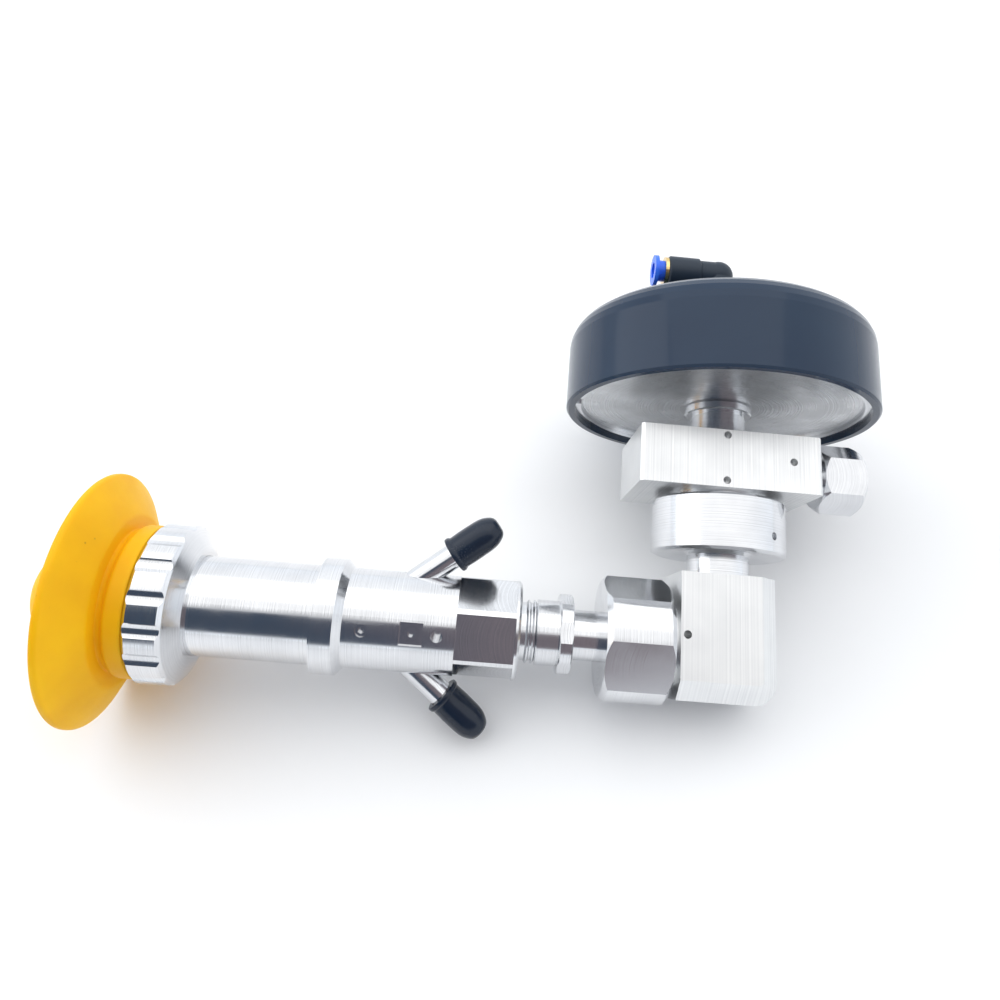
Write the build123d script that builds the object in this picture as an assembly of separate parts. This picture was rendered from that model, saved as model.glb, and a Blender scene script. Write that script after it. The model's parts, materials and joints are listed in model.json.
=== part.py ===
from build123d import *
import os
from math import cos, radians, sin

# Abrasive water-jet cutting head with its pneumatic on/off valve, lying on a bench.
# Sizes are in millimetres. The head axis leaves the elbow towards the nozzle, the valve axis
# leaves it towards the air actuator, and a station is a distance from the point where they cross.

# clearances
FIT = 0.05            # radial room in a screwed, sliding or turning fit
FACE_GAP = 0.3        # room between faces of pieces that move apart
TRIM = 0.8            # small edge chamfer

# elbow block
ELBOW_HALF = 16.5     # half width across the head axis
ELBOW_TOP = 22.3      # height above the head axis
ELBOW_LOW = 17.7      # depth below the head axis
ELBOW_BEVEL = 6.2     # bevel along the lower front and back edges
ELBOW_ROUND = 8.0     # rounded lower outer corner
ELBOW_BOSS_R = 14.0   # threaded boss that carries the swivel nut
ELBOW_BOSS_END = 32.0
WATER_R = 1.6         # high-pressure water passage
WEEP_R = 1.3          # weep holes
ELBOW_WEEP = (2.2, 2.4)   # weep hole from the swivel nut's side of the elbow, and above the head axis
ELBOW_WEEP_DEPTH = 11.0
CONE_DEPTH = 3.0      # sealing cone in the end of the boss

# swivel nut
NUT_R = 20.2
NUT_START = 18.2
NUT_END = 40.3
NUT_FLATS = 36.7      # across its four wrench flats
NUT_FLAT_TURN = -29.0
NUT_CHAMFER = 1.6

# adapter between elbow and head
NECK_R = 8.1
COLLAR_R = 12.9
COLLAR_START = 50.2
COLLAR_WIDTH = 4.4
SHANK_R = 10.5
THREAD_START = 61.8
THREAD_CORE_R = 9.3
THREAD_DEPTH = 0.9
THREAD_PITCH = 2.0
THREAD_ROOT_HALF = 0.8     # half width of a thread ridge at its root, then at its crest
THREAD_CREST_HALF = 0.2
COLLAR_CORNER_EASE = 15.0  # degrees: rounds the corners of the hexagonal collar
TAIL_FLANGE_R = 11.5
TAIL_FLANGE_WIDTH = 3.0

# cutting head barrel
BARREL_R = 16.0
HEAD_START = 67.5
HEAD_END = 183.0
HEX_START = 69.1
HEX_END = 88.1
HEX_FLATS = 28.5
PORT_LINE = -16.0     # angle of the row of small holes around the barrel
GAUGE_HOLE_AT = 93.9
GAUGE_HOLE_R = 1.9
HOLE_DEPTH = 5.0
POCKET_AT = 102.0
POCKET_SIDE = 7.4
POCKET_DEPTH = 1.4
POCKET_SCREW_R = 2.3
POCKET_SCREW_END = 4.6
POCKET_SOCKET = 3.0
SET_SCREW_AT = 117.6
SET_SCREW_R = 2.0
SET_SCREW_TOP = 0.8    # depths below the barrel's surface
SET_SCREW_END = 4.0
SET_SCREW_KEY = 2.0    # across the flats of its hexagon socket
SET_SCREW_SOCKET = 2.4
RING_R = 18.6
RING_START = 126.3
RING_END = 133.4
RING_SLOPE = 2.5

# jet parts inside the barrel
ORIFICE_R = 9.5
ORIFICE_START = 77.5
ORIFICE_LENGTH = 6.0
JEWEL_R = 1.5
JEWEL_LENGTH = 1.2
JET_R = 0.4
CHAMBER_R = 9.0
CHAMBER_LENGTH = 54.0
CHAMBER_BORE_R = 3.0
TUBE_R = 4.72         # focusing tube
TUBE_BORE_R = 0.6
TUBE_LENGTH = 76.2
TUBE_SOCKET = 12.0    # length of the focusing tube held inside the mixing chamber
COLLET_START = 158.0
COLLET_SMALL_R = 8.0
COLLET_BIG_R = 10.5
COLLET_SLOTS = 4
COLLET_SLOT = 1.0
COLLET_SOLID = 8.0    # unslotted length at the small end

# abrasive ports
PORT_AT = 120.1       # station where a port axis meets the head axis
PORT_LEAN = 38.5      # lean of a port from the head axis, back towards the elbow
PORT_TUBE_R = 4.2
PORT_BORE_R = 2.8
PORT_ROOT = 14.5      # distances along the port axis
PORT_END = 49.0
CAP_R = 5.7
CAP_START = 36.8
CAP_LENGTH = 18.2
CAP_LIP = 0.5
CAP_LIP_WIDTH = 1.0
CAP_DOME_STEPS = 6

# collet nut
COLLET_NUT_R = 25.5
COLLET_NUT_BACK = 172.5
COLLET_NUT_SHOULDER = 177.0
COLLET_NUT_FRONT = 187.5
COLLET_NUT_BACK_R = 18.0
SCALLOPS = 16
SCALLOP_R = 3.6
SCALLOP_DEPTH = 0.95
NOSE_R = 12.0         # spigot that carries the splash guard
NOSE_LENGTH = 7.0

# splash guard
GUARD_HUB_R = 24.4
GUARD_HUB_END = 196.2
GUARD_GROOVE = 1.6
GUARD_BACK_R = 27.5
GUARD_RIM_R = 40.4
GUARD_RIM_AT = 203.4
GUARD_RIM_WIDTH = 2.4
GUARD_DISH = 1.5
GUARD_NUB_R = 14.4
GUARD_NUB_END = 223.0
GUARD_NUB_ROUND = 4.5
GUARD_BORE_GAP = 0.5  # room around the focusing tube

# outlet body and its gland
GLAND_R = 10.6
GLAND_THREAD_R = 7.0
GLAND_DEPTH = 10.0    # screwed length at each end
OUTLET_R = 23.2
OUTLET_START = 29.7
OUTLET_END = 48.4
OUTLET_NECK_R = 17.0
OUTLET_DISH = 1.2
OUTLET_WEEP_AT = 35.6
OUTLET_WEEP_TURN = 36.0

# valve block
BLOCK_LEFT = 31.8     # distances from the valve axis
BLOCK_RIGHT = 30.3
BLOCK_BASE = 50.4
BLOCK_HEIGHT = 19.9
BLOCK_HALF = 20.5
BLOCK_CHAMFER = 1.0
BLOCK_WEEPS = ((-2.6, 2.3), (-2.3, 18.0), (20.4, 10.5))   # from the valve axis, above the base
BLOCK_WEEP_DEPTH = 4.0
INLET_RISE = 10.4     # inlet axis above the block's base
FEED_R = 2.5

# valve parts
SEAT_R = 6.0
SEAT_LENGTH = 6.0
SEAT_RAISE = 1.0
CHAMBER_TOP = 12.6    # above the block's base
SEAL_R = 6.1
SEAL_HEIGHT = 2.4
STEM_R = 2.5
STEM_TIP_R = 0.9
STEM_TIP = 3.0
BUSH_R = 4.5
BUSH_LENGTH = 12.0

# actuator
MAST_R = 9.7
MAST_SUNK = 4.8
MAST_RING_R = 12.0
MAST_RING = 3.0
CAP_RIM = 80.3        # station of the actuator's open rim
CUP_R = 56.0
CUP_WALL = 3.0
CUP_HEIGHT = 33.7
CUP_SHOULDER = 10.0
PLATE_RECESS = 3.4
PLATE_THICK = 6.0
CLIP_WIDTH = 1.5
CLIP_DEPTH = 1.2
CLIP_OPENING = 6.0
SHOULDER_STEPS = 6
PISTON_GAP = 2.5
PISTON_THICK = 9.0
SEAL_RING_DEPTH = 2.4
SEAL_RING_WIDTH = 3.0

# air fitting
STUD_R = 4.0
STUD_FLATS = 12.0
STUD_HEIGHT = 5.0
STUD_PIN_R = 3.5
STUD_PIN = 11.0
AIR_WAY_R = 1.7       # air passage up the stud and the fitting
AIR_CROSS_R = 1.4     # air passage along the fitting's arm
FITTING_RISE = 24.5   # horizontal bore above the top of the cup
FITTING_R = 6.2
FITTING_ELBOW_R = 5.5
FITTING_BULGE = 0.3   # the rounded knee stands a little proud of its two arms
FITTING_STEP = 7.5
FITTING_END = 20.3
AIR_TUBE_R = 3.05
TUBE_STOP = 5.5       # where the pushed-in air tube bottoms, from the valve axis
SLEEVE_R = 4.1
SLEEVE_DEPTH = 9.0
BRASS_R = 5.6
BRASS_WIDTH = 1.3
COLLAR_FLANGE_R = 6.0
COLLAR_FLANGE = 1.5
COLLAR_PUSH = 1.0
COLLAR_STAND = 2.6
LUG_R = 2.6
LUG_HOLE_R = 1.2
LUG_AT = 12.5

# inlet gland nut
INLET_THREAD_R = 7.0
INLET_SUNK = 7.5
INLET_GAP = 5.2
INLET_LENGTH = 15.0
INLET_FLATS = 21.8
INLET_CHAMFER = 1.8
INLET_TUBE_R = 4.9
INLET_RELIEF = 0.4    # the bore is wider inside the screwed part
INLET_TURN = 4.0

# how the whole unit lies on the bench
LIE_TILT = 22.78
LIE_ROLL = 5.56

HEAD = Plane(origin=(0, 0, 0), x_dir=(0, 0, 1), z_dir=(-1, 0, 0))
VALVE = Plane(origin=(0, 0, 0), x_dir=(0, 0, 1), z_dir=(0, 1, 0))

nodes = {}


def turned(*outline):
    # closed outline of (radius, station) points, turned about the local Z axis
    return revolve(Plane.XZ * make_face(Polyline(*outline, close=True)), Axis.Z)


def rod(radius, start, end):
    return Pos(0, 0, start) * Cylinder(radius, end - start, align=(Align.CENTER, Align.CENTER, Align.MIN))


def tube(outer, inner, start, end):
    return turned((inner, start), (outer, start), (outer, end), (inner, end))


def soft_rod(radius, start, end, chamfer):
    return turned((0, start), (radius - chamfer, start), (radius, start + chamfer),
                  (radius, end - chamfer), (radius - chamfer, end), (0, end))


def prism(flats, count, start, end, turn=0):
    # bar with an even number of flats, the first flat facing the local X axis
    bar = extrude(RegularPolygon(flats / 2, count, major_radius=False), end - start)
    return Pos(0, 0, start) * Rot(0, 0, turn + 180 / count) * bar


def around(angle, radius, station):
    # place on a turned body where local Z points outwards
    return (Pos(radius * cos(radians(angle)), radius * sin(radians(angle)), station)
            * Rot(0, 0, angle) * Rot(0, 90, 0))


def keep(name, frame, solid):
    nodes[name] = frame * solid


def elbow_block():
    side = Rectangle(2 * ELBOW_HALF, ELBOW_TOP + ELBOW_LOW)
    outline = Pos(0, (ELBOW_TOP - ELBOW_LOW) / 2) * side
    corner = outline.vertices().filter_by_position(Axis.X, 0, ELBOW_HALF + 1).sort_by(Axis.Y)[0]
    block = extrude(fillet(corner, ELBOW_ROUND), ELBOW_HALF, both=True)
    lower = [edge for edge in block.edges()
             if abs(abs(edge.center().Z) - ELBOW_HALF) < FIT and edge.center().Y < -ELBOW_LOW / 2
             and edge.center().X > -ELBOW_HALF + 1]
    block = chamfer(lower, ELBOW_BEVEL)
    boss = HEAD * (soft_rod(ELBOW_BOSS_R, ELBOW_HALF - 1, ELBOW_BOSS_END, TRIM)
                   - rod(WATER_R, ELBOW_HALF - 2, ELBOW_BOSS_END)
                   - turned((0, ELBOW_BOSS_END - CONE_DEPTH), (WATER_R, ELBOW_BOSS_END - CONE_DEPTH),
                            (WATER_R + CONE_DEPTH, ELBOW_BOSS_END), (0, ELBOW_BOSS_END)))
    block -= HEAD * rod(WATER_R, 0, ELBOW_HALF)
    block += boss
    block -= VALVE * rod(WATER_R, 0, ELBOW_TOP)
    block -= VALVE * rod(GLAND_THREAD_R + FIT, ELBOW_TOP - GLAND_DEPTH, ELBOW_TOP)
    inward, above = ELBOW_WEEP
    block -= Pos(inward - ELBOW_HALF, above, ELBOW_HALF) * Cylinder(WEEP_R, 2 * ELBOW_WEEP_DEPTH)
    nodes["elbow_block"] = block


def swivel_nut():
    nut = soft_rod(NUT_R, NUT_START, NUT_END, NUT_CHAMFER)
    nut &= prism(NUT_FLATS, 4, NUT_START, NUT_END, NUT_FLAT_TURN)
    flange_room = ELBOW_BOSS_END + TAIL_FLANGE_WIDTH + 2 * FACE_GAP
    nut -= rod(ELBOW_BOSS_R + FIT, NUT_START, flange_room)
    nut -= rod(NECK_R + FIT, flange_room, NUT_END)
    keep("swivel_nut", HEAD, nut)


def adapter():
    flange = ELBOW_BOSS_END + FACE_GAP
    collar_end = COLLAR_START + COLLAR_WIDTH
    collar = soft_rod(COLLAR_R, COLLAR_START, collar_end, TRIM / 2)
    collar &= prism(2 * COLLAR_R * cos(radians(COLLAR_CORNER_EASE)), 6, COLLAR_START, collar_end)
    body = rod(TAIL_FLANGE_R, flange, flange + TAIL_FLANGE_WIDTH)
    body += rod(NECK_R, flange + TAIL_FLANGE_WIDTH, COLLAR_START)
    body += collar + rod(SHANK_R, collar_end, THREAD_START)
    seat = ORIFICE_START - FACE_GAP
    body += rod(THREAD_CORE_R, THREAD_START, seat)
    turns = int((HEAD_START - THREAD_START) / THREAD_PITCH)
    top = THREAD_CORE_R + THREAD_DEPTH
    for turn in range(turns):
        ridge = THREAD_START + (turn + 1 / 2) * THREAD_PITCH
        body += turned((0, ridge - THREAD_ROOT_HALF), (THREAD_CORE_R, ridge - THREAD_ROOT_HALF),
                       (top, ridge - THREAD_CREST_HALF), (top, ridge + THREAD_CREST_HALF),
                       (THREAD_CORE_R, ridge + THREAD_ROOT_HALF), (0, ridge + THREAD_ROOT_HALF))
    keep("adapter", HEAD, body - rod(WATER_R, flange, seat))


def head_body():
    body = soft_rod(BARREL_R, HEAD_START, HEAD_END, TRIM)
    hexagon = prism(HEX_FLATS, 6, HEX_START, HEX_END, PORT_LINE)
    body -= tube(BARREL_R + 1, HEX_FLATS / 2 - 1, HEX_START, HEX_END) - hexagon
    body += turned((BARREL_R - 1, RING_START - RING_SLOPE), (BARREL_R, RING_START - RING_SLOPE),
                   (RING_R, RING_START), (RING_R, RING_END), (BARREL_R - 1, RING_END))
    chamber_end = ORIFICE_START + ORIFICE_LENGTH + CHAMBER_LENGTH
    body -= rod(THREAD_CORE_R + FIT, HEAD_START, ORIFICE_START)
    body -= rod(ORIFICE_R + FIT, ORIFICE_START - FACE_GAP, ORIFICE_START + ORIFICE_LENGTH)
    body -= rod(CHAMBER_R + FIT, ORIFICE_START + ORIFICE_LENGTH, chamber_end)
    body -= rod(TUBE_R + FIT, chamber_end, COLLET_START)
    body -= turned((0, COLLET_START), (COLLET_SMALL_R + FIT, COLLET_START),
                   (COLLET_BIG_R + FIT, HEAD_END), (0, HEAD_END))
    body -= around(PORT_LINE, BARREL_R, GAUGE_HOLE_AT) * Cylinder(GAUGE_HOLE_R, 2 * HOLE_DEPTH)
    pocket = around(PORT_LINE, BARREL_R, POCKET_AT)
    body -= pocket * Box(POCKET_SIDE, POCKET_SIDE, 2 * POCKET_DEPTH)
    body -= pocket * Cylinder(POCKET_SCREW_R + FIT, 2 * HOLE_DEPTH)
    body -= around(PORT_LINE, BARREL_R, SET_SCREW_AT) * Cylinder(SET_SCREW_R + FIT, 2 * HOLE_DEPTH)
    for angle in (PORT_LINE + 90, PORT_LINE - 90):
        body -= port_place(angle) * rod(PORT_TUBE_R + FIT, PORT_ROOT, PORT_END)
    keep("head_body", HEAD, body)


def port_place(angle):
    # local Z leaves the head axis at the port station and leans back towards the elbow
    return Pos(0, 0, PORT_AT) * Rot(0, 0, angle) * Rot(0, 180 - PORT_LEAN, 0)


def small_screws():
    screw = rod(SET_SCREW_R, -SET_SCREW_END, -SET_SCREW_TOP)
    screw -= prism(SET_SCREW_KEY, 6, -SET_SCREW_SOCKET, 0)
    keep("set_screw", HEAD, around(PORT_LINE, BARREL_R, SET_SCREW_AT) * screw)
    plug = rod(POCKET_SCREW_R, -POCKET_SCREW_END, -POCKET_DEPTH)
    plug -= rod(POCKET_SCREW_R / 2, -POCKET_SOCKET, -POCKET_DEPTH)
    keep("pocket_screw", HEAD, around(PORT_LINE, BARREL_R, POCKET_AT) * plug)


def jet_parts():
    end = ORIFICE_START + ORIFICE_LENGTH
    puck = rod(ORIFICE_R, ORIFICE_START, end) - rod(TUBE_BORE_R, ORIFICE_START, end)
    puck -= rod(JEWEL_R + FIT / 2, ORIFICE_START, ORIFICE_START + JEWEL_LENGTH)
    keep("orifice_mount", HEAD, puck)
    keep("orifice_jewel", HEAD, tube(JEWEL_R, JET_R, ORIFICE_START, ORIFICE_START + JEWEL_LENGTH))
    chamber = tube(CHAMBER_R, CHAMBER_BORE_R, end, end + CHAMBER_LENGTH)
    socket = end + CHAMBER_LENGTH - TUBE_SOCKET
    chamber -= rod(TUBE_R + FIT, socket, end + CHAMBER_LENGTH)
    for angle in (PORT_LINE + 90, PORT_LINE - 90):
        chamber -= port_place(angle) * rod(PORT_BORE_R, 0, 2 * CHAMBER_R)
        chamber -= port_place(angle) * rod(PORT_TUBE_R + FIT, PORT_ROOT, 3 * CHAMBER_R)
    keep("mixing_chamber", HEAD, chamber)
    inlet = socket + FACE_GAP
    jet_tube = soft_rod(TUBE_R, inlet, inlet + TUBE_LENGTH, TRIM)
    keep("focusing_tube", HEAD, jet_tube - rod(TUBE_BORE_R, inlet, inlet + TUBE_LENGTH))


def collet():
    front = HEAD_END + FACE_GAP
    slope = (COLLET_BIG_R - COLLET_SMALL_R) / (HEAD_END - COLLET_START)
    back = COLLET_START + FACE_GAP
    sleeve = turned((TUBE_R + FIT, back), (COLLET_SMALL_R + slope * FACE_GAP, back),
                    (COLLET_BIG_R + slope * FACE_GAP, front), (TUBE_R + FIT, front))
    corner = (Align.MIN, Align.CENTER, Align.MIN)
    for index in range(COLLET_SLOTS):
        slot = Box(2 * COLLET_BIG_R, COLLET_SLOT, HEAD_END - COLLET_START, align=corner)
        sleeve -= Pos(0, 0, COLLET_START + COLLET_SOLID) * Rot(0, 0, index * 360 / COLLET_SLOTS) * slot
    keep("collet", HEAD, sleeve)


def collet_nut():
    ease = 1.5 * TRIM
    body = turned((0, COLLET_NUT_BACK), (COLLET_NUT_BACK_R, COLLET_NUT_BACK),
                  (COLLET_NUT_R - ease, COLLET_NUT_SHOULDER - ease), (COLLET_NUT_R, COLLET_NUT_SHOULDER),
                  (COLLET_NUT_R, COLLET_NUT_FRONT - ease), (COLLET_NUT_R - ease, COLLET_NUT_FRONT),
                  (NOSE_R, COLLET_NUT_FRONT), (NOSE_R, COLLET_NUT_FRONT + NOSE_LENGTH),
                  (0, COLLET_NUT_FRONT + NOSE_LENGTH))
    for index in range(SCALLOPS):
        groove = rod(SCALLOP_R, COLLET_NUT_SHOULDER - 3, COLLET_NUT_FRONT + 1)
        out = COLLET_NUT_R + SCALLOP_R - SCALLOP_DEPTH
        body -= Rot(0, 0, index * 360 / SCALLOPS) * Pos(out, 0, 0) * groove
    body -= rod(BARREL_R + FIT, COLLET_NUT_BACK, HEAD_END + 2 * FACE_GAP)
    body -= rod(TUBE_R + 2 * FIT, HEAD_END, COLLET_NUT_FRONT + NOSE_LENGTH)
    keep("collet_nut", HEAD, body)


def splash_guard():
    back = COLLET_NUT_FRONT + FACE_GAP
    groove_r = GUARD_HUB_R - GUARD_GROOVE
    rim_front = GUARD_RIM_AT + GUARD_RIM_WIDTH
    guard = turned((0, back), (GUARD_HUB_R - TRIM, back), (GUARD_HUB_R, back + TRIM),
                   (GUARD_HUB_R, GUARD_HUB_END - 2 * GUARD_GROOVE), (groove_r, GUARD_HUB_END - GUARD_GROOVE),
                   (groove_r, GUARD_HUB_END), (GUARD_BACK_R, GUARD_HUB_END),
                   (GUARD_RIM_R - TRIM, GUARD_RIM_AT), (GUARD_RIM_R, GUARD_RIM_AT + TRIM),
                   (GUARD_RIM_R, rim_front - TRIM), (GUARD_RIM_R - TRIM, rim_front),
                   (GUARD_RIM_R - 3 * TRIM, rim_front), (GUARD_RIM_R - 5 * TRIM, rim_front - GUARD_DISH),
                   (GUARD_NUB_R, rim_front - GUARD_DISH), (GUARD_NUB_R, GUARD_NUB_END - GUARD_NUB_ROUND),
                   (GUARD_NUB_R - GUARD_NUB_ROUND, GUARD_NUB_END), (0, GUARD_NUB_END))
    guard -= rod(NOSE_R + FIT, back, COLLET_NUT_FRONT + NOSE_LENGTH + FACE_GAP)
    guard -= rod(TUBE_R + GUARD_BORE_GAP, back, GUARD_NUB_END)
    keep("splash_guard", HEAD, guard)


def abrasive_ports():
    for side, angle in (("upper", PORT_LINE + 90), ("lower", PORT_LINE - 90)):
        place = port_place(angle)
        keep("port_tube_" + side, HEAD, place * tube(PORT_TUBE_R, PORT_BORE_R, PORT_ROOT, PORT_END))
        top = CAP_START + CAP_LENGTH
        lip_end = CAP_START + CAP_LIP_WIDTH
        turns = [radians(90 * step / CAP_DOME_STEPS) for step in range(CAP_DOME_STEPS)]
        dome = [(CAP_R * cos(turn), top - CAP_R + CAP_R * sin(turn)) for turn in turns]
        shell = turned((0, CAP_START), (CAP_R + CAP_LIP, CAP_START), (CAP_R + CAP_LIP, lip_end),
                       (CAP_R, lip_end + CAP_LIP), *dome, (0, top))
        shell -= rod(PORT_TUBE_R + FIT, CAP_START, PORT_END + FACE_GAP)
        keep("port_cap_" + side, HEAD, place * shell)


def outlet():
    gland = rod(GLAND_R, ELBOW_TOP, OUTLET_START)
    gland += rod(GLAND_THREAD_R, ELBOW_TOP - GLAND_DEPTH, OUTLET_START + GLAND_DEPTH)
    gland -= rod(WATER_R, ELBOW_TOP - GLAND_DEPTH, OUTLET_START + GLAND_DEPTH)
    keep("outlet_gland", VALVE, gland)
    body = turned((0, OUTLET_START), (GLAND_R, OUTLET_START),
                  (GLAND_R + OUTLET_DISH, OUTLET_START + OUTLET_DISH), (OUTLET_R - 2 * TRIM, OUTLET_START),
                  (OUTLET_R, OUTLET_START + TRIM),
                  (OUTLET_R, OUTLET_END - TRIM), (OUTLET_R - TRIM, OUTLET_END), (OUTLET_NECK_R, OUTLET_END),
                  (OUTLET_NECK_R, BLOCK_BASE), (0, BLOCK_BASE))
    body -= rod(GLAND_THREAD_R + FIT, OUTLET_START, OUTLET_START + GLAND_DEPTH)
    body -= rod(WATER_R, OUTLET_START, BLOCK_BASE)
    body -= rod(SEAT_R + FIT, BLOCK_BASE + SEAT_RAISE - SEAT_LENGTH, BLOCK_BASE)
    body -= around(OUTLET_WEEP_TURN, OUTLET_R, OUTLET_WEEP_AT) * Cylinder(WEEP_R, BLOCK_WEEP_DEPTH)
    keep("outlet_body", VALVE, body)


def valve_block():
    block = Box(BLOCK_LEFT + BLOCK_RIGHT, BLOCK_HEIGHT, 2 * BLOCK_HALF)
    block = chamfer(block.edges().filter_by(Axis.Y), BLOCK_CHAMFER)
    block = Pos((BLOCK_RIGHT - BLOCK_LEFT) / 2, BLOCK_BASE + BLOCK_HEIGHT / 2, 0) * block
    seal_base = BLOCK_BASE + CHAMBER_TOP
    block -= VALVE * rod(SEAT_R + FIT, BLOCK_BASE, seal_base)
    block -= VALVE * rod(SEAL_R + FIT, seal_base, BLOCK_BASE + BLOCK_HEIGHT)
    block -= VALVE * rod(MAST_R + FIT, BLOCK_BASE + BLOCK_HEIGHT - MAST_SUNK, BLOCK_BASE + BLOCK_HEIGHT)
    inlet = inlet_place()
    block -= inlet * rod(FEED_R, 0, BLOCK_RIGHT)
    block -= inlet * rod(INLET_THREAD_R + FIT, BLOCK_RIGHT - INLET_SUNK - FACE_GAP, BLOCK_RIGHT)
    for across, up in BLOCK_WEEPS:
        block -= Pos(across, BLOCK_BASE + up, BLOCK_HALF) * Cylinder(WEEP_R, 2 * BLOCK_WEEP_DEPTH)
    nodes["valve_block"] = block


def inlet_place():
    # local Z leaves the block towards the supply tube
    return Pos(0, BLOCK_BASE + INLET_RISE, 0) * Rot(0, 90, 0)


def inlet_gland_nut():
    start = BLOCK_RIGHT + INLET_GAP
    corner = INLET_FLATS / 2 / cos(radians(30))
    nut = soft_rod(corner, start, start + INLET_LENGTH, INLET_CHAMFER)
    nut &= prism(INLET_FLATS, 6, start, start + INLET_LENGTH, 180 + INLET_TURN)
    nut += rod(INLET_THREAD_R, BLOCK_RIGHT - INLET_SUNK, start)
    nut -= rod(INLET_TUBE_R + INLET_RELIEF, BLOCK_RIGHT - INLET_SUNK, start)
    nut -= rod(INLET_TUBE_R, start, start + INLET_LENGTH)
    nodes["inlet_gland_nut"] = inlet_place() * nut


def valve_parts():
    seat_top = BLOCK_BASE + SEAT_RAISE
    seat = rod(SEAT_R, seat_top - SEAT_LENGTH, seat_top) - rod(STEM_TIP_R, seat_top - SEAT_LENGTH, seat_top)
    keep("valve_seat", VALVE, seat)
    seal_base = BLOCK_BASE + CHAMBER_TOP
    mast_base = BLOCK_BASE + BLOCK_HEIGHT - MAST_SUNK
    middle = (seal_base + mast_base) / 2
    keep("high_pressure_seal", VALVE, tube(SEAL_R, STEM_R + FIT, seal_base, middle))
    keep("backup_ring", VALVE, tube(SEAL_R, STEM_R + FIT, middle, mast_base))
    plate_base = CAP_RIM + PLATE_RECESS
    mast = rod(MAST_R, mast_base, plate_base + PLATE_THICK)
    mast += soft_rod(MAST_RING_R, plate_base - MAST_RING, plate_base, TRIM / 2)
    mast -= rod(BUSH_R + FIT, mast_base, mast_base + BUSH_LENGTH)
    mast -= rod(STEM_R + FIT, mast_base, plate_base + PLATE_THICK)
    keep("actuator_mast", VALVE, mast)
    keep("stem_bush", VALVE, tube(BUSH_R, STEM_R + FIT, mast_base, mast_base + BUSH_LENGTH))
    piston_base = plate_base + PLATE_THICK + PISTON_GAP
    tip = seat_top + FIT
    stem = turned((0, tip), (STEM_TIP_R, tip), (STEM_R, tip + STEM_TIP),
                  (STEM_R, piston_base + PISTON_THICK), (0, piston_base + PISTON_THICK))
    keep("valve_stem", VALVE, stem)


def actuator():
    bore = CUP_R - CUP_WALL
    top = CAP_RIM + CUP_HEIGHT
    plate_base = CAP_RIM + PLATE_RECESS
    turns = [radians(90 * step / SHOULDER_STEPS) for step in range(SHOULDER_STEPS + 1)]
    shoulder = [(CUP_R - CUP_SHOULDER + CUP_SHOULDER * cos(turn),
                 top - CUP_SHOULDER + CUP_SHOULDER * sin(turn)) for turn in turns]
    inner = CUP_SHOULDER - CUP_WALL
    cup = turned((0, CAP_RIM), (CUP_R - TRIM, CAP_RIM), (CUP_R, CAP_RIM + TRIM), *shoulder, (0, top))
    cup -= turned((0, CAP_RIM), (bore, CAP_RIM), (bore, top - CUP_WALL - inner),
                  (bore - inner, top - CUP_WALL), (0, top - CUP_WALL))
    cup -= rod(bore + CLIP_DEPTH, plate_base - CLIP_WIDTH, plate_base)
    cup -= rod(STUD_R + FIT, top - CUP_WALL, top)
    keep("actuator_cup", VALVE, cup)
    plate = tube(bore - FIT, MAST_R + FIT, plate_base, plate_base + PLATE_THICK)
    keep("actuator_plate", VALVE, plate)
    clip = tube(bore + CLIP_DEPTH - FIT, bore - 2 * CLIP_DEPTH, plate_base - CLIP_WIDTH, plate_base)
    opening = Pos(0, -bore, plate_base) * Box(CLIP_OPENING, CLIP_OPENING, 2 * PLATE_THICK)
    keep("retaining_ring", VALVE, clip - opening)
    piston_base = plate_base + PLATE_THICK + PISTON_GAP
    piston = tube(bore - 2 * FIT, STEM_R, piston_base, piston_base + PISTON_THICK)
    groove = piston_base + (PISTON_THICK - SEAL_RING_WIDTH) / 2
    piston -= tube(bore + 1, bore - SEAL_RING_DEPTH, groove, groove + SEAL_RING_WIDTH)
    keep("piston", VALVE, piston)
    keep("piston_seal", VALVE, tube(bore - FIT, bore - SEAL_RING_DEPTH, groove, groove + SEAL_RING_WIDTH))


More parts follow.
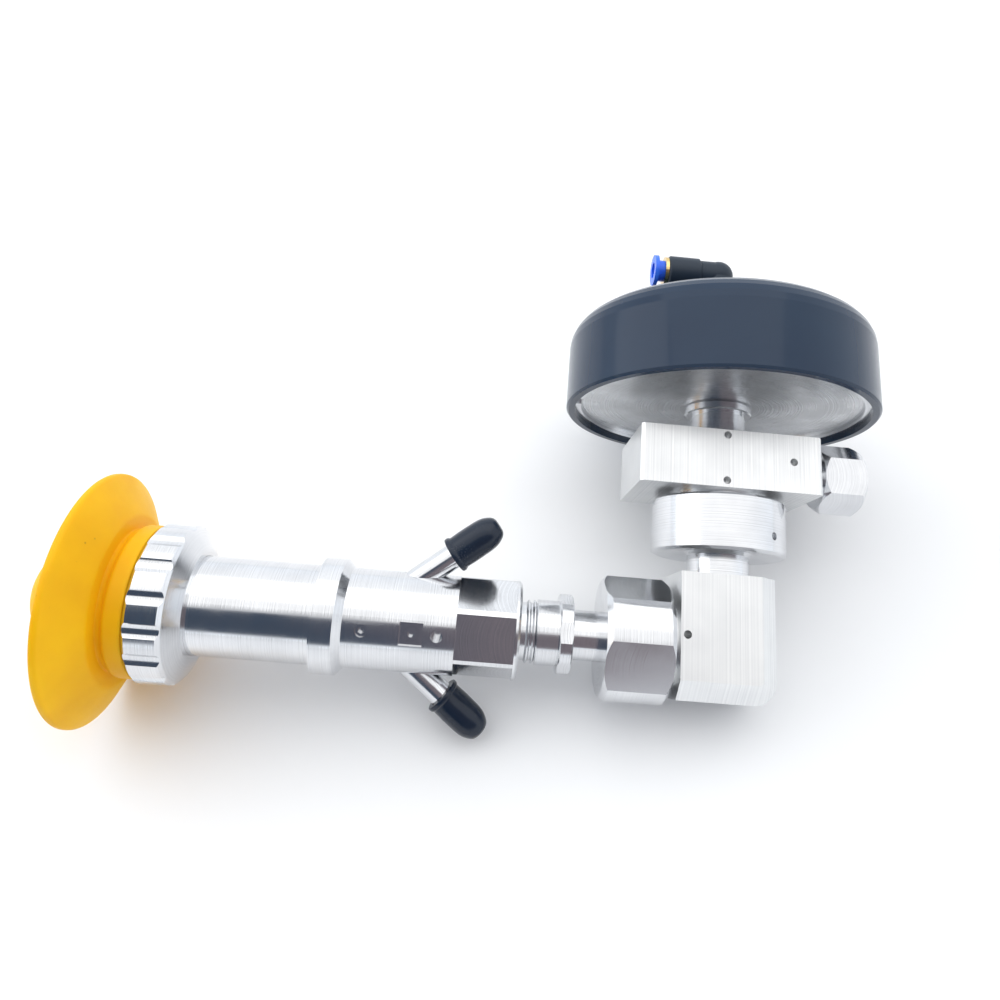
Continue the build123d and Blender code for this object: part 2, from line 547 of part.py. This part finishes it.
def air_fitting():
    top = CAP_RIM + CUP_HEIGHT
    stud = rod(STUD_R, top - CUP_WALL, top) + prism(STUD_FLATS, 6, top, top + STUD_HEIGHT)
    stud += rod(STUD_PIN_R, top + STUD_HEIGHT, top + STUD_HEIGHT + STUD_PIN)
    stud -= rod(AIR_WAY_R, top - CUP_WALL, top + STUD_HEIGHT + STUD_PIN)
    keep("air_stud", VALVE, stud)
    rise = top + FITTING_RISE
    base = top + STUD_HEIGHT + FACE_GAP
    across = Pos(0, rise, 0) * HEAD
    body = VALVE * rod(FITTING_ELBOW_R, base, rise)
    body += Pos(0, rise, 0) * Sphere(FITTING_ELBOW_R + FITTING_BULGE)
    body += across * rod(FITTING_ELBOW_R, 0, FITTING_STEP)
    body += across * soft_rod(FITTING_R, FITTING_STEP, FITTING_END, TRIM)
    eye = Pos(-LUG_AT, rise - FITTING_R - LUG_R / 2, 0)
    body += eye * Cylinder(LUG_R, LUG_R)
    body -= VALVE * rod(STUD_PIN_R + FIT, base, top + STUD_HEIGHT + STUD_PIN + FACE_GAP)
    body -= VALVE * rod(AIR_WAY_R, base, rise)
    body -= across * rod(AIR_CROSS_R, 0, FITTING_END)
    sleeve_end = FITTING_END - SLEEVE_DEPTH
    body -= across * rod(AIR_TUBE_R, TUBE_STOP, FITTING_END)
    body -= across * rod(SLEEVE_R + FIT, sleeve_end - COLLAR_PUSH - FACE_GAP, FITTING_END)
    body -= eye * Cylinder(LUG_HOLE_R, 3 * LUG_R)
    nodes["air_elbow"] = body
    nodes["brass_ring"] = across * tube(BRASS_R, SLEEVE_R + FIT, FITTING_END, FITTING_END + BRASS_WIDTH)
    flange = FITTING_END + BRASS_WIDTH + COLLAR_STAND
    collar = rod(SLEEVE_R, sleeve_end, flange) + rod(COLLAR_FLANGE_R, flange, flange + COLLAR_FLANGE)
    nodes["release_collar"] = across * (collar - rod(AIR_TUBE_R, sleeve_end, flange + COLLAR_FLANGE))


def lie_down():
    # rest the rim of the cup, the elbow and the rim of the splash guard on the bench, Z up
    lying = {name: Rot(0, LIE_ROLL, 0) * Rot(LIE_TILT, 0, 0) * solid for name, solid in nodes.items()}
    box = Compound(list(lying.values())).bounding_box()
    middle = box.center()
    shift = Pos(-middle.X, -middle.Y, -box.min.Z)
    return {name: shift * solid for name, solid in lying.items()}


def main():
    elbow_block()
    swivel_nut()
    adapter()
    head_body()
    small_screws()
    jet_parts()
    collet()
    collet_nut()
    splash_guard()
    abrasive_ports()
    outlet()
    valve_block()
    inlet_gland_nut()
    valve_parts()
    actuator()
    air_fitting()
    os.makedirs("parts", exist_ok=True)
    for name, solid in lie_down().items():
        export_step(solid, "parts/" + name + ".step")
        print(name, round(solid.volume, 1))


main()
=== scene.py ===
import bpy
import bmesh
import json
import math
from mathutils import Matrix, Vector


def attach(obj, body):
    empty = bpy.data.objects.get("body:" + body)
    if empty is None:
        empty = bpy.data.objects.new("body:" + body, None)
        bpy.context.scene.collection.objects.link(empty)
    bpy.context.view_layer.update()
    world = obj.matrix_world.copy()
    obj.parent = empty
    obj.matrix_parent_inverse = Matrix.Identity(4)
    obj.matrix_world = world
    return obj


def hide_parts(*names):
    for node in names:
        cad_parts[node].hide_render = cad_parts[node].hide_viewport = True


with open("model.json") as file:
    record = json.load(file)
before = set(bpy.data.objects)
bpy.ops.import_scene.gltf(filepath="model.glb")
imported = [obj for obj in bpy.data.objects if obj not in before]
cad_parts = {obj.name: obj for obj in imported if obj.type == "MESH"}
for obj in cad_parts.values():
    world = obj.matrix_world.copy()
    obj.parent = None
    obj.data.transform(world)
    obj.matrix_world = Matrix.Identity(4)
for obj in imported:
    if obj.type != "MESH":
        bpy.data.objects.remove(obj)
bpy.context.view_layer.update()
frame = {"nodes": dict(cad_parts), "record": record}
print("frame loaded")

# directions of the unit as it lies: headDir runs to the nozzle, valveDir to the actuator
joints = {joint["name"]: joint for joint in frame["record"]["behaviour"]["joints"]}
headDir = Vector(joints["swivel_nut_turn"]["axis"]).normalized()
valveDir = Vector(joints["valve_stroke"]["axis"]).normalized()
faceDir = valveDir.cross(headDir).normalized()
nutStation = 0.030   # the swivel nut's hinge sits this far along the head
inletRise = 60.8     # millimetres from the crossing up to the water inlet
crossing = Vector(joints["swivel_nut_turn"]["pos_m"]) - headDir * nutStation


def spot(along, up, out):
    # millimetres from the crossing of the two axes, as a point in the scene
    return crossing + (-headDir * along + valveDir * up + faceDir * out) / 1000


def newMaterial(name):
    mat = bpy.data.materials.new(name)
    mat.use_nodes = True
    tree = mat.node_tree
    shader = tree.nodes["Principled BSDF"]
    return mat, tree, shader


def node(tree, kind, **settings):
    made = tree.nodes.new(kind)
    for key, value in settings.items():
        setattr(made, key, value)
    return made


def stationAndRadius(tree, axis, origin):
    # distance along an axis plus distance from it, so rings run round a turned piece and its faces
    place = node(tree, "ShaderNodeTexCoord")
    local = node(tree, "ShaderNodeVectorMath", operation="SUBTRACT")
    local.inputs[1].default_value = origin
    tree.links.new(place.outputs["Object"], local.inputs[0])
    dot = node(tree, "ShaderNodeVectorMath", operation="DOT_PRODUCT")
    dot.inputs[1].default_value = axis
    tree.links.new(local.outputs[0], dot.inputs[0])
    scaled = node(tree, "ShaderNodeVectorMath", operation="SCALE")
    scaled.inputs[0].default_value = axis
    tree.links.new(dot.outputs["Value"], scaled.inputs["Scale"])
    side = node(tree, "ShaderNodeVectorMath", operation="SUBTRACT")
    tree.links.new(local.outputs[0], side.inputs[0])
    tree.links.new(scaled.outputs[0], side.inputs[1])
    radius = node(tree, "ShaderNodeVectorMath", operation="LENGTH")
    tree.links.new(side.outputs[0], radius.inputs[0])
    total = node(tree, "ShaderNodeMath", operation="ADD")
    tree.links.new(dot.outputs["Value"], total.inputs[0])
    tree.links.new(radius.outputs["Value"], total.inputs[1])
    return total.outputs[0], local.outputs[0]


def noiseOn(tree, source, scale, detail=3.0, dimensions="3D"):
    noise = node(tree, "ShaderNodeTexNoise", noise_dimensions=dimensions)
    noise.inputs["Scale"].default_value = scale
    noise.inputs["Detail"].default_value = detail
    tree.links.new(source, noise.inputs["W" if dimensions == "1D" else "Vector"])
    return noise.outputs["Fac"]


def span(tree, source, low, high, fromLow=0.0, fromHigh=1.0):
    ranged = node(tree, "ShaderNodeMapRange")
    ranged.inputs["From Min"].default_value = fromLow
    ranged.inputs["From Max"].default_value = fromHigh
    ranged.inputs["To Min"].default_value = low
    ranged.inputs["To Max"].default_value = high
    tree.links.new(source, ranged.inputs["Value"])
    return ranged.outputs["Result"]


def mixColour(tree, factor, first, second):
    mix = node(tree, "ShaderNodeMix", data_type="RGBA")
    mix.inputs["A"].default_value = (*first, 1)
    mix.inputs["B"].default_value = (*second, 1)
    tree.links.new(factor, mix.inputs["Factor"])
    return mix.outputs["Result"]


def addBump(tree, shader, height, strength, distance):
    bump = node(tree, "ShaderNodeBump")
    bump.inputs["Strength"].default_value = strength
    bump.inputs["Distance"].default_value = distance
    tree.links.new(height, bump.inputs["Height"])
    tree.links.new(bump.outputs["Normal"], shader.inputs["Normal"])


def addUp(tree, first, second):
    total = node(tree, "ShaderNodeMath", operation="ADD")
    tree.links.new(first, total.inputs[0])
    tree.links.new(second, total.inputs[1])
    return total.outputs[0]


# where two added noises start and stop acting on colour and on roughness
colourBand, roughBand = (0.6, 1.4), (0.7, 1.3)

turnedSteel = {
    "bright": (0.80, 0.81, 0.83), "dull": (0.62, 0.63, 0.65),
    "smooth": 0.10, "rough": 0.24, "ringsPerMetre": 2600, "wearScale": 90, "ringDepth": 0.000004,
}


def makeTurnedSteel(name, axis, origin, look=turnedSteel):
    mat, tree, shader = newMaterial(name)
    station, local = stationAndRadius(tree, axis, origin)
    rings = noiseOn(tree, station, look["ringsPerMetre"], 2.0, "1D")
    wear = noiseOn(tree, local, look["wearScale"], 5.0)
    both = addUp(tree, rings, wear)
    tree.links.new(mixColour(tree, span(tree, both, 0, 1, *colourBand), look["bright"], look["dull"]),
                   shader.inputs["Base Color"])
    tree.links.new(span(tree, both, look["smooth"], look["rough"], *roughBand), shader.inputs["Roughness"])
    addBump(tree, shader, rings, 0.35, look["ringDepth"])
    shader.inputs["Metallic"].default_value = 1.0
    return mat


satinSteel = {
    "bright": (0.86, 0.87, 0.87), "dull": (0.70, 0.71, 0.72), "smooth": 0.30, "rough": 0.42,
    "grainScale": 2200, "streakScale": 1560, "cloudScale": 45, "grainDepth": 0.000012,
}


def makeSatinSteel(name, streakAxis, look=satinSteel):
    mat, tree, shader = newMaterial(name)
    place = node(tree, "ShaderNodeTexCoord")
    grain = noiseOn(tree, place.outputs["Object"], look["grainScale"], 2.0)
    dot = node(tree, "ShaderNodeVectorMath", operation="DOT_PRODUCT")
    dot.inputs[1].default_value = streakAxis
    tree.links.new(place.outputs["Object"], dot.inputs[0])
    streaks = noiseOn(tree, dot.outputs["Value"], look["streakScale"], 2.0, "1D")
    clouds = noiseOn(tree, place.outputs["Object"], look["cloudScale"], 4.0)
    both = addUp(tree, streaks, clouds)
    tree.links.new(mixColour(tree, span(tree, both, 0, 1, *colourBand), look["bright"], look["dull"]),
                   shader.inputs["Base Color"])
    tree.links.new(span(tree, both, look["smooth"], look["rough"], *roughBand), shader.inputs["Roughness"])
    addBump(tree, shader, addUp(tree, grain, streaks), 0.4, look["grainDepth"])
    shader.inputs["Metallic"].default_value = 1.0
    return mat


coatRough = 0.06
softReach = 0.004   # metres light travels inside the urethane
rareSpeck, speckEdge = (0.60, 0.66), (0.05, 0.11)


def makeCoated(name, look):
    # paint, vinyl, rubber or moulded plastic: colour clouds, specks, fine skin texture
    mat, tree, shader = newMaterial(name)
    place = node(tree, "ShaderNodeTexCoord")
    clouds = noiseOn(tree, place.outputs["Object"], look["cloudScale"], 4.0)
    skin = noiseOn(tree, place.outputs["Object"], look["skinScale"], 3.0)
    colour = mixColour(tree, span(tree, clouds, 0, 1, 0.3, 0.7), look["colour"], look["shade"])
    if "speck" in look:
        spots = node(tree, "ShaderNodeTexVoronoi")
        spots.inputs["Scale"].default_value = look["speckScale"]
        tree.links.new(place.outputs["Object"], spots.inputs["Vector"])
        rare = noiseOn(tree, place.outputs["Object"], look["speckScale"] * 0.3, 2.0)
        near = span(tree, spots.outputs["Distance"], 1, 0, *speckEdge)
        chosen = node(tree, "ShaderNodeMath", operation="MULTIPLY")
        tree.links.new(near, chosen.inputs[0])
        tree.links.new(span(tree, rare, 0, 1, *rareSpeck), chosen.inputs[1])
        mix = node(tree, "ShaderNodeMix", data_type="RGBA")
        tree.links.new(chosen.outputs[0], mix.inputs["Factor"])
        tree.links.new(colour, mix.inputs["A"])
        mix.inputs["B"].default_value = (*look["speck"], 1)
        colour = mix.outputs["Result"]
    tree.links.new(colour, shader.inputs["Base Color"])
    tree.links.new(span(tree, addUp(tree, clouds, skin), look["smooth"], look["rough"], *roughBand),
                   shader.inputs["Roughness"])
    addBump(tree, shader, skin, 0.3, look["skinDepth"])
    shader.inputs["Specular IOR Level"].default_value = look.get("shine", 0.5)
    shader.inputs["Coat Weight"].default_value = look.get("coat", 0.0)
    shader.inputs["Coat Roughness"].default_value = coatRough
    shader.inputs["Subsurface Weight"].default_value = look.get("depth", 0.0)
    shader.inputs["Subsurface Scale"].default_value = softReach
    return mat


coatedLooks = {
    "navyPaint": {"colour": (0.006, 0.023, 0.056), "shade": (0.009, 0.030, 0.066), "smooth": 0.16, "rough": 0.24,
                  "cloudScale": 30, "skinScale": 700, "skinDepth": 0.00001, "shine": 0.28, "coat": 0.12},
    "yellowUrethane": {"colour": (0.96, 0.54, 0.002), "shade": (0.84, 0.43, 0.004), "smooth": 0.42, "rough": 0.55,
                       "cloudScale": 40, "skinScale": 1400, "skinDepth": 0.00003, "depth": 0.12, "shine": 0.20,
                       "speck": (0.30, 0.13, 0.01), "speckScale": 220},
    "navyVinyl": {"colour": (0.007, 0.014, 0.030), "shade": (0.011, 0.020, 0.038), "smooth": 0.18, "rough": 0.28,
                  "cloudScale": 80, "skinScale": 1800, "skinDepth": 0.00002, "shine": 0.35},
    "blackNylon": {"colour": (0.014, 0.026, 0.044), "shade": (0.020, 0.032, 0.050), "smooth": 0.36, "rough": 0.48,
                   "cloudScale": 120, "skinScale": 2600, "skinDepth": 0.00002, "shine": 0.3},
    "blueAcetal": {"colour": (0.035, 0.16, 0.95), "shade": (0.045, 0.20, 1.0), "smooth": 0.26, "rough": 0.36,
                   "cloudScale": 160, "skinScale": 2600, "skinDepth": 0.00001, "shine": 0.4},
    "whiteSeal": {"colour": (0.80, 0.80, 0.76), "shade": (0.72, 0.72, 0.68), "smooth": 0.45, "rough": 0.6,
                  "cloudScale": 160, "skinScale": 2600, "skinDepth": 0.00001},
    "blackRubber": {"colour": (0.015, 0.015, 0.016), "shade": (0.022, 0.022, 0.023), "smooth": 0.5, "rough": 0.7,
                    "cloudScale": 160, "skinScale": 2600, "skinDepth": 0.00001},
    "rubyRed": {"colour": (0.45, 0.01, 0.05), "shade": (0.5, 0.02, 0.07), "smooth": 0.05, "rough": 0.1,
                "cloudScale": 500, "skinScale": 2600, "skinDepth": 0.000001},
}
plateLook = dict(turnedSteel, dull=(0.55, 0.56, 0.57), smooth=0.22, rough=0.36)
brassLook = dict(turnedSteel, bright=(0.80, 0.60, 0.28), dull=(0.68, 0.48, 0.20))
bronzeLook = dict(turnedSteel, bright=(0.62, 0.42, 0.24), dull=(0.50, 0.32, 0.17), smooth=0.25, rough=0.4)
carbideLook = dict(turnedSteel, bright=(0.36, 0.37, 0.39), dull=(0.28, 0.29, 0.31), smooth=0.25, rough=0.38)
pistonLook = dict(turnedSteel, bright=(0.75, 0.76, 0.78), dull=(0.62, 0.63, 0.65), smooth=0.22, rough=0.35)

headSteel = makeTurnedSteel("headSteel", headDir, crossing)
valveSteel = makeTurnedSteel("valveSteel", valveDir, crossing)
inletSteel = makeTurnedSteel("inletSteel", -headDir, spot(0, inletRise, 0))
blockSteel = makeSatinSteel("blockSteel", -headDir)
plateSteel = makeTurnedSteel("plateSteel", valveDir, crossing, plateLook)
coated = {name: makeCoated(name, look) for name, look in coatedLooks.items()}
brassMetal = makeTurnedSteel("brassMetal", valveDir, crossing, brassLook)
bronzeMetal = makeTurnedSteel("bronzeMetal", valveDir, crossing, bronzeLook)
carbide = makeTurnedSteel("carbide", headDir, crossing, carbideLook)
pistonMetal = makeTurnedSteel("pistonMetal", valveDir, crossing, pistonLook)

finishOf = {
    "elbow_block": blockSteel, "valve_block": blockSteel, "actuator_plate": plateSteel,
    "swivel_nut": headSteel, "adapter": headSteel, "head_body": headSteel, "collet_nut": headSteel,
    "set_screw": headSteel, "pocket_screw": headSteel, "orifice_mount": headSteel, "collet": headSteel,
    "port_tube_upper": headSteel, "port_tube_lower": headSteel,
    "outlet_gland": valveSteel, "outlet_body": valveSteel, "actuator_mast": valveSteel,
    "valve_seat": valveSteel, "valve_stem": valveSteel, "retaining_ring": valveSteel,
    "inlet_gland_nut": inletSteel, "mixing_chamber": carbide, "focusing_tube": carbide,
    "orifice_jewel": coated["rubyRed"], "actuator_cup": coated["navyPaint"],
    "high_pressure_seal": coated["whiteSeal"],
    "stem_bush": bronzeMetal, "backup_ring": bronzeMetal, "piston": pistonMetal,
    "piston_seal": coated["blackRubber"], "air_stud": brassMetal, "brass_ring": brassMetal,
    "air_elbow": coated["blackNylon"], "release_collar": coated["blueAcetal"],
}
for name, mat in finishOf.items():
    part = frame["nodes"][name]
    for slot in part.material_slots:
        slot.material = mat
print("materials ready")


cornerSteps = 4
longestEase = 0.45   # share of an edge that one corner may use up
weldReach = 0.000002


def softened(outline):
    # each corner (radius, station, ease) of a closed outline becomes a short curve, ease is how far it starts
    soft = []
    for index, (radius, station, ease) in enumerate(outline):
        here = Vector((radius, station))
        before = Vector(outline[index - 1][:2]) - here
        after = Vector(outline[(index + 1) % len(outline)][:2]) - here
        start = here + before.normalized() * min(ease, before.length * longestEase)
        end = here + after.normalized() * min(ease, after.length * longestEase)
        for step in range(cornerSteps + 1):
            part = step / cornerSteps
            soft.append(start * (1 - part) ** 2 + here * 2 * part * (1 - part) + end * part ** 2)
    return soft


def makeTurned(name, outline, origin, axis, mat, steps=144):
    # turns a closed outline in millimetres about an axis through origin, as one watertight skin
    side = axis.orthogonal().normalized()
    other = axis.cross(side)
    profile = softened(outline)
    points, faces = [], []
    for step in range(steps):
        angle = 2 * math.pi * step / steps
        out = side * math.cos(angle) + other * math.sin(angle)
        points += [origin + (axis * station + out * radius) / 1000 for radius, station in profile]
    count = len(profile)
    for step in range(steps):
        first, second = step * count, (step + 1) % steps * count
        for index in range(count):
            following = (index + 1) % count
            if profile[index].x > 0 or profile[following].x > 0:
                faces.append((first + index, second + index, second + following, first + following))
    mesh = bpy.data.meshes.new(name)
    mesh.from_pydata(points, [], faces)
    mesh.validate()
    shaped = bmesh.new()
    shaped.from_mesh(mesh)
    bmesh.ops.remove_doubles(shaped, verts=shaped.verts, dist=weldReach)
    bmesh.ops.recalc_face_normals(shaped, faces=shaped.faces)
    shaped.to_mesh(mesh)
    shaped.free()
    mesh.polygons.foreach_set("use_smooth", [True] * len(mesh.polygons))
    mesh.materials.append(mat)
    piece = bpy.data.objects.new(name, mesh)
    bpy.context.collection.objects.link(piece)
    return piece


# splash guard: rounded moulded lip, groove behind the hub, dished face and nub
guardLook = {
    "hub": 24.4, "back": 187.8, "hubEnd": 196.2, "groove": 22.8, "flare": 27.5, "rim": 40.4, "rimAt": 203.4,
    "rimEnd": 205.8, "dish": 1.5, "nub": 14.4, "nubEnd": 223.0, "bore": 5.22, "socket": 12.05, "socketEnd": 194.8,
}


def makeGuard():
    g = guardLook
    outline = [
        (g["socket"], g["back"], 0.3), (g["hub"], g["back"], 0.8), (g["hub"], g["hubEnd"] - 3.0, 0.8),
        (g["groove"], g["hubEnd"] - 1.6, 0.6), (g["groove"], g["hubEnd"], 0.5), (g["flare"], g["hubEnd"], 0.9),
        (g["rim"], g["rimAt"] + 0.2, 0.9), (g["rim"], g["rimEnd"], 1.0), (g["rim"] - 2.6, g["rimEnd"], 1.0),
        (g["rim"] - 4.4, g["rimEnd"] - g["dish"], 1.4), (g["nub"] + 1.2, g["rimEnd"] - g["dish"], 1.4),
        (g["nub"], g["rimEnd"] + 0.6, 1.2), (g["nub"], g["nubEnd"] - 4.4, 3.4),
        (g["nub"] - 4.4, g["nubEnd"], 2.6), (g["bore"], g["nubEnd"], 0.5), (g["bore"], g["socketEnd"], 0.3),
        (g["socket"], g["socketEnd"], 0.4),
    ]
    guard = makeTurned("moulded_guard", outline, crossing, headDir, coated["yellowUrethane"], 180)
    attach(guard, "guard")
    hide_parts("splash_guard")


# vinyl cap: rolled mouth, faint dipping rings, domed end
capLook = {
    "radius": 5.7, "bore": 4.25, "start": 36.8, "end": 55.0, "stop": 49.3, "lip": 0.45, "portStation": 120.1,
}


def makeCap(side):
    c = capLook
    pull = Vector(joints[side + "_cap_pull"]["axis"]).normalized()
    outline = [
        (c["bore"], c["start"], 0.2), (c["radius"] + c["lip"], c["start"], 0.45),
        (c["radius"] + c["lip"], c["start"] + 1.3, 0.45), (c["radius"] - 0.12, c["start"] + 1.9, 0.4),
        (c["radius"], c["start"] + 6.0, 1.5), (c["radius"] - 0.10, c["end"] - 6.2, 1.5),
        (c["radius"] - 0.5, c["end"] - 3.6, 1.8), (c["radius"] - 1.9, c["end"] - 0.9, 1.6),
        (c["radius"] - 3.4, c["end"], 1.2), (0.0, c["end"], 0.0),
        (0.0, c["stop"], 0.0), (c["bore"], c["stop"], 0.4),
    ]
    cap = makeTurned(side + "_vinyl_cap", outline, spot(-c["portStation"], 0, 0), pull, coated["navyVinyl"], 72)
    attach(cap, side + "_cap")
    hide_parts("port_cap_" + side)


makeGuard()
makeCap("upper")
makeCap("lower")
print("guard and caps ready")


benchLook = {"half": 6.0, "cloudScale": 6, "pale": (0.93, 0.94, 0.95), "shade": (0.90, 0.915, 0.93), "rough": 0.7}


def makeFloor():
    size = benchLook["half"]
    mesh = bpy.data.meshes.new("floor")
    corners = [(-size, -size, 0), (size, -size, 0), (size, size, 0), (-size, size, 0)]
    mesh.from_pydata(corners, [], [(0, 1, 2, 3)])
    floor = bpy.data.objects.new("floor", mesh)
    bpy.context.collection.objects.link(floor)
    mat, tree, shader = newMaterial("paleBench")
    place = node(tree, "ShaderNodeTexCoord")
    soft = noiseOn(tree, place.outputs["Object"], benchLook["cloudScale"], 2.0)
    tree.links.new(mixColour(tree, soft, benchLook["pale"], benchLook["shade"]), shader.inputs["Base Color"])
    shader.inputs["Roughness"].default_value = benchLook["rough"]
    mesh.materials.append(mat)


skyLook = {
    "above": (1.0, 1.0, 1.0), "level": (0.86, 0.90, 0.95), "strength": 1.3,
    "navy": (0.045, 0.062, 0.092), "mauve": (0.165, 0.142, 0.158),
    "patchRise": 33, "patchEdge": (0.865, 0.905), "patchStretch": (0.35, 1, 1),   # rise in degrees
    "crossover": (-0.12, 0.10), "paleFrom": 0.9,
}


def makeSky():
    # a pale room with a darker patch in front, where someone stands at the bench
    world = bpy.data.worlds.new("softRoom")
    bpy.context.scene.world = world
    world.use_nodes = True
    tree = world.node_tree
    background = tree.nodes["Background"]
    place = node(tree, "ShaderNodeTexCoord")
    parts = node(tree, "ShaderNodeSeparateXYZ")
    tree.links.new(place.outputs["Generated"], parts.inputs[0])
    high = span(tree, parts.outputs["Z"], 0, 1, 0.0, skyLook["paleFrom"])
    sky = mixColour(tree, high, skyLook["level"], skyLook["above"])
    stretched = node(tree, "ShaderNodeVectorMath", operation="MULTIPLY")
    stretched.inputs[1].default_value = skyLook["patchStretch"]
    tree.links.new(place.outputs["Generated"], stretched.inputs[0])
    unit = node(tree, "ShaderNodeVectorMath", operation="NORMALIZE")
    tree.links.new(stretched.outputs[0], unit.inputs[0])
    front = node(tree, "ShaderNodeVectorMath", operation="DOT_PRODUCT")
    rise = math.radians(skyLook["patchRise"])
    front.inputs[1].default_value = (0, -math.cos(rise), math.sin(rise))
    tree.links.new(unit.outputs[0], front.inputs[0])
    patch = span(tree, front.outputs["Value"], 0, 1, *skyLook["patchEdge"])
    across = span(tree, parts.outputs["X"], 0, 1, *skyLook["crossover"])
    dark = mixColour(tree, across, skyLook["navy"], skyLook["mauve"])
    mix = node(tree, "ShaderNodeMix", data_type="RGBA")
    tree.links.new(patch, mix.inputs["Factor"])
    tree.links.new(sky, mix.inputs["A"])
    tree.links.new(dark, mix.inputs["B"])
    tree.links.new(mix.outputs["Result"], background.inputs["Color"])
    background.inputs["Strength"].default_value = skyLook["strength"]


lampLooks = {
    "overhead": {"place": (0.0, 0.35, 1.1), "size": (1.6, 1.0), "power": 3},
    "leftFill": {"place": (-0.9, 0.1, 0.6), "size": (0.8, 0.8), "power": 2},
}


def makeLamp(name, look):
    data = bpy.data.lights.new(name, "AREA")
    data.shape = "RECTANGLE"
    data.size, data.size_y = look["size"]
    data.energy = look["power"]
    lamp = bpy.data.objects.new(name, data)
    lamp.location = look["place"]
    lamp.rotation_euler = (-lamp.location).to_track_quat("-Z", "Y").to_euler()   # faces the origin
    bpy.context.collection.objects.link(lamp)


# place in millimetres from the crossing; each along the back of the head, up the valve, out of their plane
cameraLook = {
    "place": (-81.1, -7.3, 279.8), "forward": (0.037, 0.317, -0.948), "right": (0.995, 0.075, 0.064),
    "lens": 28.8, "sensor": 36, "shift": (-0.030, -0.114), "nearest": 0.01,
}


def makeCamera():
    data = bpy.data.cameras.new("camera")
    data.lens = cameraLook["lens"]
    data.sensor_width = cameraLook["sensor"]
    data.shift_x, data.shift_y = cameraLook["shift"]
    data.clip_start = cameraLook["nearest"]
    camera = bpy.data.objects.new("camera", data)
    along, up, out = cameraLook["place"]
    camera.location = spot(along, up, out)
    axes = Matrix((-headDir, valveDir, faceDir)).transposed()
    forward = (axes @ Vector(cameraLook["forward"])).normalized()
    upward = (axes @ Vector(cameraLook["right"])).cross(forward).normalized()
    side = forward.cross(upward)
    camera.rotation_euler = Matrix((side, upward, -forward)).transposed().to_euler()
    bpy.context.collection.objects.link(camera)
    bpy.context.scene.camera = camera


makeFloor()
makeSky()
for name, look in lampLooks.items():
    makeLamp(name, look)
makeCamera()
bpy.context.scene.view_settings.view_transform = "Standard"
print("floor, light and camera ready")
